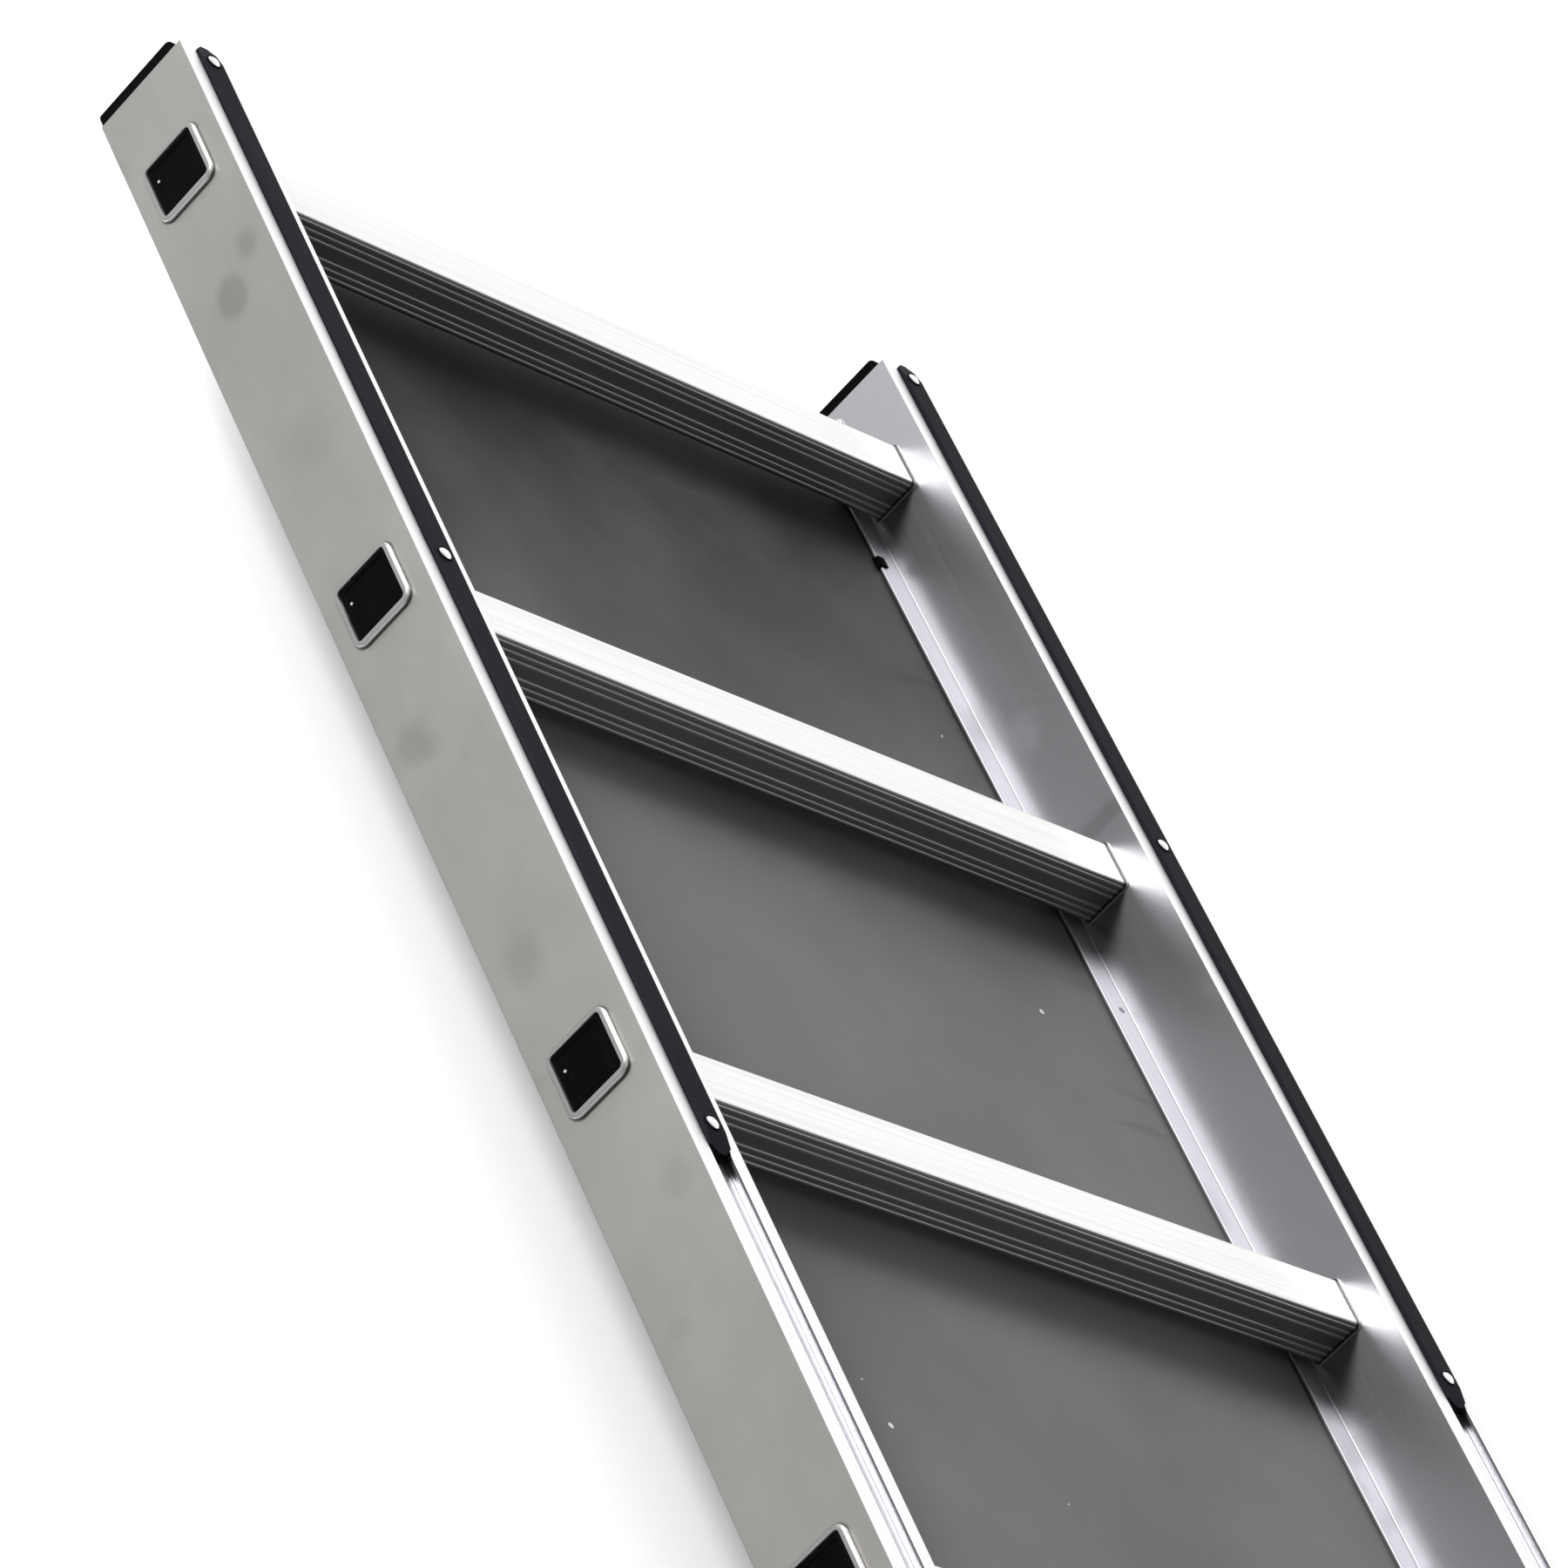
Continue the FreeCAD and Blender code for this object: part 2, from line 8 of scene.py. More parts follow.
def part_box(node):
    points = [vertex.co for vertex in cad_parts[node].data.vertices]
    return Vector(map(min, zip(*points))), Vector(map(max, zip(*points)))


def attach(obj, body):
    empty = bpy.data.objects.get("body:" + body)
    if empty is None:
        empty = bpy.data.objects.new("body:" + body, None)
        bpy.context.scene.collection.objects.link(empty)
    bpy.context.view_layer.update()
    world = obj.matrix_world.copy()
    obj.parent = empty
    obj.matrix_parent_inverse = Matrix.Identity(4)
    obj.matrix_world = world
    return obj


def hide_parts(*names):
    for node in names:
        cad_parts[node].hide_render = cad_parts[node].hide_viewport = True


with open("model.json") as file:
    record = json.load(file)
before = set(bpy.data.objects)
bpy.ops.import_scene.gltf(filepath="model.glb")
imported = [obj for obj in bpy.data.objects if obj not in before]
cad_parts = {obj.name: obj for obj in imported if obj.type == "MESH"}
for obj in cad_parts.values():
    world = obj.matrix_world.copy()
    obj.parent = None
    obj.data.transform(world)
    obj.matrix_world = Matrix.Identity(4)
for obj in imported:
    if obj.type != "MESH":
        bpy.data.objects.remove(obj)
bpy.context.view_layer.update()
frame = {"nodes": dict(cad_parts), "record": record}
nodes = frame["nodes"]
print("frame loaded:", len(nodes), "nodes")

quarterTurn = math.pi / 2
sharpAngle = math.radians(32)          # edges that turn more than this stay crisp

# Places, read from the frame


def middleY(node):
    low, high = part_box(node)
    return (low.y + high.y) / 2


flyLow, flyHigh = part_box("fly_stile_left")
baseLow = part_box("base_stile_left")[0]
outerX = abs(flyLow.x)                 # the stiles' outer faces
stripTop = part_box("wear_strip_left")[1].z
sectionStep = flyLow.z - baseLow.z     # from the base section's back to the fly section's
topRungY = middleY("fly_rung_1")
rungPitch = topRungY - middleY("fly_rung_2")


def solidBoxes(node):
    # the lowest and highest corner of each separate solid in a CAD node, in order along the ladder
    work = bmesh.new()
    work.from_mesh(nodes[node].data)
    bmesh.ops.remove_doubles(work, verts=work.verts, dist=1e-6)
    waiting, boxes = set(work.verts), []
    while waiting:
        joined = [waiting.pop()]
        low, high = joined[0].co.copy(), joined[0].co.copy()
        while joined:
            here = joined.pop()
            for i in range(3):
                low[i], high[i] = min(low[i], here.co[i]), max(high[i], here.co[i])
            for edge in here.link_edges:
                there = edge.other_vert(here)
                if there in waiting:
                    waiting.remove(there)
                    joined.append(there)
        boxes.append((low, high))
    work.free()
    return sorted(boxes, key=lambda box: (round(box[0].y, 4), round(box[0].x, 4), round(box[0].z, 4)))


# A Link is one output of a node, and an expression on links adds Math nodes

class Link:
    def __init__(self, web, socket):
        self.web = web
        self.socket = socket

    def math(self, operation, *others):
        values = dict(enumerate((self,) + others))
        return self.web.node("ShaderNodeMath", {"operation": operation}, values)

    def wrap(self, pitch):
        return self.math("WRAP", pitch / 2, -pitch / 2)

    def __add__(self, other):
        return self.math("ADD", other)

    def __sub__(self, other):
        return self.math("SUBTRACT", other)

    def __rsub__(self, other):
        return self * -1.0 + other

    def __mul__(self, other):
        return self.math("MULTIPLY", other)

    def __gt__(self, other):
        return self.math("GREATER_THAN", other)

    def __lt__(self, other):
        return self.math("LESS_THAN", other)

    def __abs__(self):
        return self.math("ABSOLUTE")

    __radd__ = __add__
    __rmul__ = __mul__


def hypotenuse(first, second):
    return (first * first + second * second).math("SQRT")


class Web:
    # a tree of nodes, for a material, the sky or a Geometry Nodes modifier
    def __init__(self, tree):
        self.tree = tree

    def node(self, kind, settings=None, values=None, output=0):
        made = self.tree.nodes.new(kind)
        for key, value in (settings or {}).items():
            if key == "stops":
                ramp = made.color_ramp
                for stop in value[1:-1]:
                    ramp.elements.new(stop[0])
                for element, (at, colour) in zip(ramp.elements, value):
                    element.position = at
                    element.color = colour
            else:
                setattr(made, key, value)
        for key, value in (values or {}).items():
            socket = self.find(made.inputs, key)
            if isinstance(value, list):          # several links into one socket
                for link in value:
                    self.tree.links.new(link.socket, socket)
            elif isinstance(value, Link):
                self.tree.links.new(value.socket, socket)
            else:
                socket.default_value = value
        return Link(self, self.find(made.outputs, output)) if len(made.outputs) else made

    def find(self, sockets, key):
        if isinstance(key, int):
            return sockets[key]
        return next(s for s in sockets if s.enabled and key in (s.identifier, s.name))

    def parts(self, vector):
        split = self.node("ShaderNodeSeparateXYZ", {}, {0: vector}).socket.node
        return [Link(self, out) for out in split.outputs]


class Paint(Web):
    # one material, with the patterns that the finishes share
    def __init__(self, name, **constants):
        self.material = bpy.data.materials.new(name)
        self.material.use_nodes = True
        super().__init__(self.material.node_tree)
        self.shader = self.tree.nodes["Principled BSDF"]
        for socket, value in constants.items():
            self.shader.inputs[socket.replace("_", " ")].default_value = value
        self.where = self.node("ShaderNodeTexCoord", output="Object")
        self.x, self.y, self.z = self.parts(self.where)
        facing = self.node("ShaderNodeTexCoord", output="Normal")
        self.faceX, self.faceY = self.parts(facing)[:2]

    def mix(self, factor, first, second):
        values = {"Factor_Float": factor, "A_Color": first, "B_Color": second}
        return self.node("ShaderNodeMix", {"data_type": "RGBA"}, values, "Result_Color")

    def ease(self, value, low, high, start=0.0, end=1.0):
        # a soft step from start, where the value is low, to end, where it is high
        values = {"Value": value, "From Min": low, "From Max": high, "To Min": start, "To Max": end}
        return self.node("ShaderNodeMapRange", {"interpolation_type": "SMOOTHSTEP"}, values)

    def noise(self, scale, detail=3.0, rough=0.5, stretch=(1, 1, 1), shift=(0, 0, 0)):
        spots = {"Vector": self.where, "Scale": stretch, "Location": shift}
        where = self.node("ShaderNodeMapping", {}, spots)
        values = {"Vector": where, "Scale": scale, "Detail": detail, "Roughness": rough}
        return self.node("ShaderNodeTexNoise", {}, values)

    def patches(self, low, high, **pattern):
        # 1 in the parts of a noise above high, and 0 in those below low
        return self.ease(self.noise(**pattern), low, high)

    def dots(self, scale, width, share, groups):
        # small round dots, one to a cell, where the noise that groups them is above share
        values = {"Vector": self.where, "Scale": scale}
        away = self.node("ShaderNodeTexVoronoi", {}, values, "Distance")
        return (away < width) * (self.noise(**groups) > share)

    def bump(self, height, distance, strength=1.0, under=None):
        values = {"Height": height, "Distance": distance, "Strength": strength}
        if under:
            values["Normal"] = under
        return self.node("ShaderNodeBump", {}, values, "Normal")

    def feed(self, **links):
        for socket, link in links.items():
            self.tree.links.new(link.socket, self.shader.inputs[socket.replace("_", " ")])
        return self.material


# Camera and light

cameraView = {
    "belowHead": 0.3641,     # the point looked at, down the ladder from the fly's head
    "aside": -0.0052,
    "aboveBack": 0.030,
    "azimuth": -47.81,       # degrees
    "elevation": 22.55,
    "roll": 44.45,
    "distance": 3.5631,
    "lens": 180.32,          # millimetres
    "sensor": 36,
    "seesTo": 60,            # metres
}


def makeCamera(s):
    target = Vector((s["aside"], flyHigh.y - s["belowHead"], flyLow.z + s["aboveBack"]))
    a, e = math.radians(s["azimuth"]), math.radians(s["elevation"])
    back = Vector((math.sin(a) * math.cos(e), -math.cos(a) * math.cos(e), math.sin(e)))
    camera = bpy.data.objects.new("camera", bpy.data.cameras.new("camera"))
    camera.data.sensor_width = s["sensor"]
    camera.data.lens = s["lens"]
    camera.data.clip_end = s["seesTo"]
    camera.location = target + back * s["distance"]
    camera.rotation_mode = "QUATERNION"
    turn = Quaternion((0, 0, 1), math.radians(s["roll"]))
    camera.rotation_quaternion = (-back).to_track_quat("-Z", "Y") @ turn
    bpy.context.scene.collection.objects.link(camera)
    bpy.context.scene.camera = camera


studio = {
    "floorSize": 30.0,
    "floorColour": (0.88, 0.88, 0.88, 1),
    "floorRoughness": 0.9,
    "glow": (0.684, 0.619, 0.386),     # the sky is brightest this way
    "sky": [(0.0, 0.30), (0.5, 0.32), (0.69, 0.56), (0.88, 1.0)],     # from the side away from it
    "skyStrength": 1.2,
    "aim": (0.0, 0.8, 0.1),            # both lamps look here
    "lamps": [
        # name, place, width, power
        ("key", (-4.6, 3.6, 2.7), 1.5, 600),
        ("fill", (-2.4, 4.8, 2.2), 2.6, 60),
    ],
}


def makeFloor(s):
    half = s["floorSize"] / 2
    corners = [(-half, -half, 0), (half, -half, 0), (half, half, 0), (-half, half, 0)]
    mesh = bpy.data.meshes.new("floor")
    mesh.from_pydata(corners, [], [(0, 1, 2, 3)])
    floor = bpy.data.objects.new("floor", mesh)
    bpy.context.scene.collection.objects.link(floor)
    paint = bpy.data.materials.new("floorPaint")
    paint.use_nodes = True
    shader = paint.node_tree.nodes["Principled BSDF"]
    shader.inputs["Base Color"].default_value = s["floorColour"]
    shader.inputs["Roughness"].default_value = s["floorRoughness"]
    mesh.materials.append(paint)


def makeLamps(s):
    for name, at, width, power in s["lamps"]:
        data = bpy.data.lights.new(name, "AREA")
        data.size = width
        data.energy = power
        lamp = bpy.data.objects.new(name, data)
        lamp.location = at
        lamp.rotation_mode = "QUATERNION"
        lamp.rotation_quaternion = (Vector(s["aim"]) - Vector(at)).to_track_quat("-Z", "Y")
        bpy.context.scene.collection.objects.link(lamp)


def makeSky(s):
    world = bpy.data.worlds.new("studio")
    bpy.context.scene.world = world
    world.use_nodes = True
    sky = Web(world.node_tree)
    across, along, up = sky.parts(sky.node("ShaderNodeTexCoord", output="Generated"))
    towards = across * s["glow"][0] + along * s["glow"][1] + up * s["glow"][2]     # from -1 to 1
    stops = [(at, (tone, tone, tone, 1)) for at, tone in s["sky"]]
    colour = sky.node("ShaderNodeValToRGB", {"stops": stops}, {0: towards * 0.5 + 0.5})
    sheet = world.node_tree.nodes["Background"]
    world.node_tree.links.new(colour.socket, sheet.inputs["Color"])
    sheet.inputs["Strength"].default_value = s["skyStrength"]


makeCamera(cameraView)
makeFloor(studio)
makeLamps(studio)
makeSky(studio)
bpy.context.scene.view_settings.view_transform = "Standard"
print("camera and studio made")

# Finishes. A pattern's low and high are where it starts and is full, on a noise from 0 to 1.
# A bump is its height in metres and its strength

stileFinish = {
    "bright": (0.86, 0.86, 0.86, 1),         # front faces, lips and edges
    "lip": (0.46, 0.46, 0.48, 1),            # the lips along the back, painted as a shaded tone of the same aluminium
    "inside": (0.275, 0.275, 0.290, 1),      # inner faces, painted as a shaded tone of the same aluminium
    "shadedOuter": (0.250, 0.246, 0.238, 1),       # outer faces, painted as a shaded tone of the same aluminium
    "dull": (0.160, 0.156, 0.150, 1),        # where the outer faces are handled
    # the darkest tone: real grime in the drawn lines and pits, and painted shade round the rims
    "grimeAndShade": (0.055, 0.052, 0.048, 1),
    "groove": (0.74, 0.72, 0.75, 1),         # the front groove's floor, painted a little darker as shade in the groove
    "roughness": 0.34,
    "skin": 0.0004,          # what lies this near to the outer faces is finished as they are
    "lipFront": 0.0145,      # above the stile's back
    "grooveFloor": 0.054,    # above the stile's back
    "grooveBand": 0.001,     # each way from the groove's floor
    "lines": {"scale": 90, "detail": 4, "rough": 0.6, "stretch": (10, 0.06, 10)},
    "cloud": {"scale": 7, "detail": 4, "rough": 0.6, "stretch": (1.0, 0.6, 1.0)},
    "thumbs": {
        "low": 0.64, "high": 0.76,
        "scale": 19, "detail": 2, "stretch": (1, 0.8, 1), "shift": (3.2, 1.4, 0),
    },
    "scratches": {
        "low": 0.70, "high": 0.74,
        "scale": 60, "detail": 2, "rough": 0.4, "stretch": (1, 0.5, 0.03), "shift": (0, 4, 2),
    },
    "pits": {"scale": 15, "width": 0.034, "share": 0.44, "groups": {"scale": 5, "detail": 1}},
    "lineBump": (0.00005, 0.35),
    "scratchBump": (0.00004, 0.5),
    "smudgeWave": (0.010, 0.008),            # how uneven a smudge's edge is, along and across
    "smudgeAlong": 0.8,                      # under 1, a smudge is longer than it is wide
    "smudgeCore": 0.25,                      # the share of its size where it's full
    "smudges": [
        # below the head, above the stile's back, size, depth
        (0.143, 0.028, 0.013, 0.75),
        (0.126, 0.047, 0.010, 0.40),
        (0.245, 0.036, 0.020, 0.20),
        (0.555, 0.022, 0.016, 0.30),
        (0.700, 0.044, 0.012, 0.25),
    ],
}
rimFinish = {
    # the rungs' rims on the stiles' outer faces, and the painted shade round them
    "half": 0.01875,
    "corner": 0.0065,
    "centre": 0.029,         # above the stile's back
    "grimeAndShade": 0.0016,         # how far the painted shade reaches out from each rim
}


def aroundRim(p, s):
    # how far a point is outside the nearest rung's rim, in the plane of the stile's outer face
    flat = s["half"] - s["corner"]
    along = (abs((p.y - topRungY).wrap(rungPitch)) - flat).math("MAXIMUM", 0.0)
    deep = (abs((p.z - s["centre"]).wrap(sectionStep)) - flat).math("MAXIMUM", 0.0)
    return hypotenuse(along, deep) - s["corner"]


def smudgeDepth(p, s, cloud, below, above, size, depth):
    # a round smudge on the left stile, with its edge stirred by the cloudy pattern
    wave, waveDeep = s["smudgeWave"]
    along = (p.y - flyHigh.y + below + (cloud - 0.5) * wave) * s["smudgeAlong"]
    deep = p.z - flyLow.z - above + (cloud - 0.5) * waveDeep
    onLeft = p.x < 0
    return p.ease(hypotenuse(along, deep), size, size * s["smudgeCore"], 0.0, depth) * onLeft


def stilePaint(s):
    # drawn aluminium: fine lines along the stile, cloudy handling marks and a few scratches; its faces
    # are painted in lit and shaded tones, with painted shade round the rims
    p = Paint("stileAluminium", Metallic=1.0)
    lines = p.noise(**s["lines"])
    cloud = p.noise(**s["cloud"])
    thumb = p.patches(**s["thumbs"])
    scratch = p.patches(**s["scratches"])
    pits = p.dots(**s["pits"])
    outer = abs(p.x) > outerX - s["skin"]
    sideways = abs(p.faceX) > 0.7
    dull = p.ease(cloud, 0.36, 0.70) * 0.55 + thumb * 0.45
    for smudge in s["smudges"]:
        dull = dull + smudgeDepth(p, s, cloud, *smudge)
    shadedOuter = p.mix(dull, s["shadedOuter"], s["dull"])
    # painted shade: the stile's outer face is darkened in a narrow ring round each rim, where its contact
    # shadow falls
    rimShade = p.ease(aroundRim(p, rimFinish), rimFinish["grimeAndShade"], 0.0, 0.0, 0.85)
    shadedOuter = p.mix(rimShade, shadedOuter, s["grimeAndShade"])
    lips = (abs(p.z - flyLow.z) < s["lipFront"]) + (p.z < s["lipFront"])
    aboveFloor = (p.z - s["grooveFloor"] + s["grooveBand"]).math("WRAP", sectionStep, 0.0)
    # painted light and shade: each face gets its own tone, bright fronts, darker back lips, a darker
    # groove floor, and shaded inner and outer faces
    colour = p.mix(lips, s["bright"], s["lip"])
    colour = p.mix(aboveFloor < 2 * s["grooveBand"], colour, s["groove"])
    colour = p.mix(sideways, colour, s["inside"])
    colour = p.mix(outer, colour, shadedOuter)
    colour = p.mix(lines * 0.10, colour, s["grimeAndShade"])
    colour = p.mix(pits * 0.8 * (1 - outer), colour, s["grimeAndShade"])
    rough = s["roughness"] + cloud * 0.12 + lines * 0.08 + thumb * 0.08 - scratch * 0.08
    normal = p.bump(scratch, *s["scratchBump"], under=p.bump(lines, *s["lineBump"]))
    return p.feed(Base_Color=colour, Roughness=rough, Normal=normal)


rungFinish = {
    "light": (0.86, 0.86, 0.85, 1),
    "line": (0.62, 0.62, 0.61, 1),
    "tread": (0.22, 0.22, 0.215, 1),         # between the ribs, painted dark as shade on the rung's treads
    "crest": (0.42, 0.42, 0.41, 1),          # on the ribs, painted less dark than between them
    # the rims' sides, painted as a shaded tone like the stiles' outer faces
    "rim": (0.20, 0.20, 0.196, 1),
    "jointAndShade": (0.06, 0.06, 0.06, 1),
    "roughness": 0.30,
    "ribbed": 0.0142,        # from the rung's middle line to just under the ribs' tops
    "webInside": 0.2262,     # where the rung meets the stile's inner face, from the ladder's middle
    "innerSeam": 0.0014,     # the widths of the dark joint at the stile's inner face, and of the painted shade round each rim's base
    "rimBaseShade": 0.0006,
    "lines": {"scale": 120, "detail": 4, "rough": 0.65, "stretch": (0.03, 8, 8)},
    "cloud": {"scale": 9, "stretch": (0.5, 1, 1)},
    "scuffs": {
        "low": 0.60, "high": 0.72,
        "scale": 40, "detail": 4, "rough": 0.6, "stretch": (0.35, 1, 1), "shift": (2, 0, 5),
    },
    "lineBump": (0.00004, 0.4),
    "scuffBump": (0.00005, 0.3),
}


def rungPaint(s):
    # brushed along the rung, with a dark joint at the stiles' inner faces and a painted shade line round
    # the rims' bases; the ribbed treads and the rims' sides are painted darker than the bright fronts, as
    # shade
    p = Paint("rungAluminium", Metallic=1.0)
    lines = p.noise(**s["lines"])
    cloud = p.noise(**s["cloud"])
    scuff = p.patches(**s["scuffs"])
    outOfLine = abs((p.y - topRungY).wrap(rungPitch))
    tread = abs(p.faceY) > 0.7
    sideways = abs(p.faceX) > 0.7
    aside = abs(p.x)
    jointAndShade = (aside > s["webInside"] - s["innerSeam"]) * (aside < s["webInside"])
    # painted shade: a thin dark band on each rim's side where it meets the stile's outer face, for its
    # contact shadow
    jointAndShade = jointAndShade + (aside > outerX) * (aside < outerX + s["rimBaseShade"])
    colour = p.mix(p.ease(lines, 0.35, 0.72) * 0.5 + cloud * 0.2, s["light"], s["line"])
    # painted shade: the treads and the rims' sides get darker tones than the fronts, less dark on the rib
    # crests
    ribbed = p.mix(outOfLine > s["ribbed"], s["tread"], s["crest"])
    colour = p.mix(tread, colour, ribbed)
    colour = p.mix(sideways, colour, s["rim"])
    colour = p.mix(jointAndShade * 0.75, colour, s["jointAndShade"])
    rough = s["roughness"] + lines * 0.12 + cloud * 0.06 + scuff * 0.14 + tread * 0.06
    normal = p.bump(scuff, *s["scuffBump"], under=p.bump(lines, *s["lineBump"]))
    return p.feed(Base_Color=colour, Roughness=rough, Normal=normal)


boardFinish = {
    "dark": (0.009, 0.0085, 0.009, 1),
    "light": (0.118, 0.112, 0.115, 1),
    "dust": (0.75, 0.74, 0.72, 1),
    "fade": (0.08, 0.54),    # from here to here below the head the sheet grows lighter: painted shade, darkest near the head
    "gloss": 0.10,
    "roughness": 0.40,
    "cloud": {"scale": 6, "detail": 4, "rough": 0.55},
    "scuffs": {
        "low": 0.60, "high": 0.72,
        "scale": 30, "detail": 5, "rough": 0.6, "stretch": (0.25, 1.4, 1),
    },
    "specks": {
        "scale": 31, "width": 0.048, "share": 0.50,
        "groups": {"scale": 13, "detail": 1, "shift": (7, 2, 0)},
    },
    "waveBump": (0.0004, 0.2),
    "speckBump": (0.0001, 0.6),
}


def boardPaint(s):
    # a smooth dark sheet with faint scuffs and specks of dust, painted darker near the head as shade and
    # lighter down the ladder
    p = Paint("boardSheet", Metallic=0.0, Specular_IOR_Level=s["gloss"])
    cloud = p.noise(**s["cloud"])
    scuff = p.patches(**s["scuffs"])
    speck = p.dots(**s["specks"])
    # painted shade: the sheet's tone is darkened towards the head
    down = p.ease(flyHigh.y - p.y, *s["fade"])
    tone = down * 0.72 + p.ease(cloud, 0.3, 0.7) * 0.26 + scuff * 0.08
    colour = p.mix(tone, s["dark"], s["light"])
    colour = p.mix(speck * 0.6, colour, s["dust"])
    rough = s["roughness"] + cloud * 0.16 + scuff * 0.10
    normal = p.bump(speck, *s["speckBump"], under=p.bump(cloud, *s["waveBump"]))
    return p.feed(Base_Color=colour, Roughness=rough, Normal=normal)


plasticFinish = {
    # colour, colour where it's rubbed, gloss
    "cap": ((0.0007, 0.0007, 0.0008, 1), (0.0026, 0.0026, 0.0029, 1), 0.012),
    "strip": ((0.0042, 0.0036, 0.0062, 1), (0.018, 0.0165, 0.023, 1), 0.03),
    "nylon": ((0.020, 0.020, 0.022, 1), (0.070, 0.070, 0.072, 1), 0.30),
}
plasticSkin = {
    "gate": (0.30, 0.30, 0.30, 1),           # the gate mark on a plug, painted pale as a highlight
    "roughness": 0.42,
    "grain": {"scale": 900, "detail": 2, "rough": 0.6},
    "blotches": {"scale": 24, "detail": 4, "rough": 0.6, "stretch": (1, 0.5, 1)},
    "rubs": {
        "low": 0.52, "high": 0.74,
        "scale": 110, "detail": 4, "rough": 0.65, "stretch": (1.5, 0.08, 1.5),
    },
    "grainBump": (0.00005, 0.5),
    "rubBump": (0.00008, 0.4),
}


def plasticPaint(name, s):
    # black moulded plastic with a fine spark-eroded grain, rubbed lighter in places, and a painted
    # highlight on the plugs' gate marks
    base, rubbed, gloss = plasticFinish[name]
    p = Paint(name + "Plastic", Metallic=0.0, Specular_IOR_Level=gloss)
    grain = p.noise(**s["grain"])
    blotch = p.noise(**s["blotches"])
    rub = p.patches(**s["rubs"])
    colour = p.mix(rub * 0.55 + p.ease(blotch, 0.45, 0.75) * 0.2, base, rubbed)
    gate = p.node("ShaderNodeAttribute", {"attribute_name": "gate"}, output="Fac")
    # painted highlight: the gate mark is coloured pale grey on the near-black plug
    colour = p.mix(gate, colour, s["gate"])
    rough = s["roughness"] + blotch * 0.14 + rub * 0.08
    normal = p.bump(rub, *s["rubBump"], under=p.bump(grain, *s["grainBump"]))
    return p.feed(Base_Color=colour, Roughness=rough, Normal=normal)


rubberFinish = {
    "colour": (0.016, 0.016, 0.016, 1),
    "dust": (0.13, 0.125, 0.115, 1),
    "dustDepth": 0.016,      # the dust is thickest this far below the stile's foot
    "gloss": 0.3,
    "roughness": 0.66,
    "grain": {"scale": 420, "detail": 4, "rough": 0.7},
    "grainBump": (0.00018, 0.6),
    "dusty": {"low": 0.48, "high": 0.75, "scale": 38, "detail": 4, "rough": 0.6},
}


def rubberPaint(s):
    # matt rubber with a stony grain, and dust low on its tread
    p = Paint("footRubber", Metallic=0.0, Specular_IOR_Level=s["gloss"])
    grain = p.noise(**s["grain"])
    dust = p.patches(**s["dusty"]) * p.ease(p.y, baseLow.y, baseLow.y - s["dustDepth"], 0.15, 0.9)
    colour = p.mix(dust * 0.5, s["colour"], s["dust"])
    rough = s["roughness"] + dust * 0.2
    return p.feed(Base_Color=colour, Roughness=rough, Normal=p.bump(grain, *s["grainBump"]))


metalFinish = {
    # colour, colour where it's stained, roughness, scale of the grain
    "rivet": ((0.80, 0.80, 0.79, 1), (0.46, 0.46, 0.45, 1), 0.22, 300),
    "stripRivet": ((0.90, 0.90, 0.90, 1), (0.62, 0.62, 0.61, 1), 0.16, 260),
    "hook": ((0.58, 0.58, 0.57, 1), (0.30, 0.30, 0.29, 1), 0.42, 520),
}
metalSkin = {
    "stains": {"low": 0.42, "high": 0.72, "scale": 70, "detail": 4, "rough": 0.6},
    "grainBump": (0.00012, 0.45),
}


def metalPaint(name, s):
    # small metal parts: cast or headed, with stains in their skin
    base, stained, roughness, grainScale = metalFinish[name]
    p = Paint(name + "Metal", Metallic=1.0)
    grain = p.noise(grainScale, detail=4, rough=0.65)
    stain = p.patches(**s["stains"])
    colour = p.mix(stain * 0.6 + grain * 0.15, base, stained)
    rough = roughness + stain * 0.14 + grain * 0.08
    return p.feed(Base_Color=colour, Roughness=rough, Normal=p.bump(grain, *s["grainBump"]))


zincFinish = {
    "silver": (0.50, 0.50, 0.49, 1),
    "straw": (0.50, 0.46, 0.37, 1),
    "blue": (0.40, 0.44, 0.48, 1),
    "white": (0.60, 0.60, 0.59, 1),
    "roughness": 0.26,
    "tints": {"scale": 26, "rough": 0.55},
    "bloom": {"low": 0.56, "high": 0.74, "scale": 90, "detail": 5, "rough": 0.7, "shift": (1, 2, 3)},
    "rolled": {"scale": 160, "rough": 0.6, "stretch": (1, 0.1, 1)},
    "rolledBump": (0.00004, 0.4),
}


def zincPaint(s):
    # zinc-plated steel: passivated tints that run into each other, and pale bloom
    p = Paint("zincSteel", Metallic=1.0)
    tint = p.noise(**s["tints"])
    bloom = p.patches(**s["bloom"])
    rolled = p.noise(**s["rolled"])
    colour = p.mix(p.ease(tint, 0.40, 0.62) * 0.55, s["silver"], s["straw"])
    colour = p.mix(p.ease(tint, 0.58, 0.74) * 0.5, colour, s["blue"])
    colour = p.mix(bloom * 0.4, colour, s["white"])
    rough = s["roughness"] + bloom * 0.26 + rolled * 0.10
    return p.feed(Base_Color=colour, Roughness=rough, Normal=p.bump(rolled, *s["rolledBump"]))


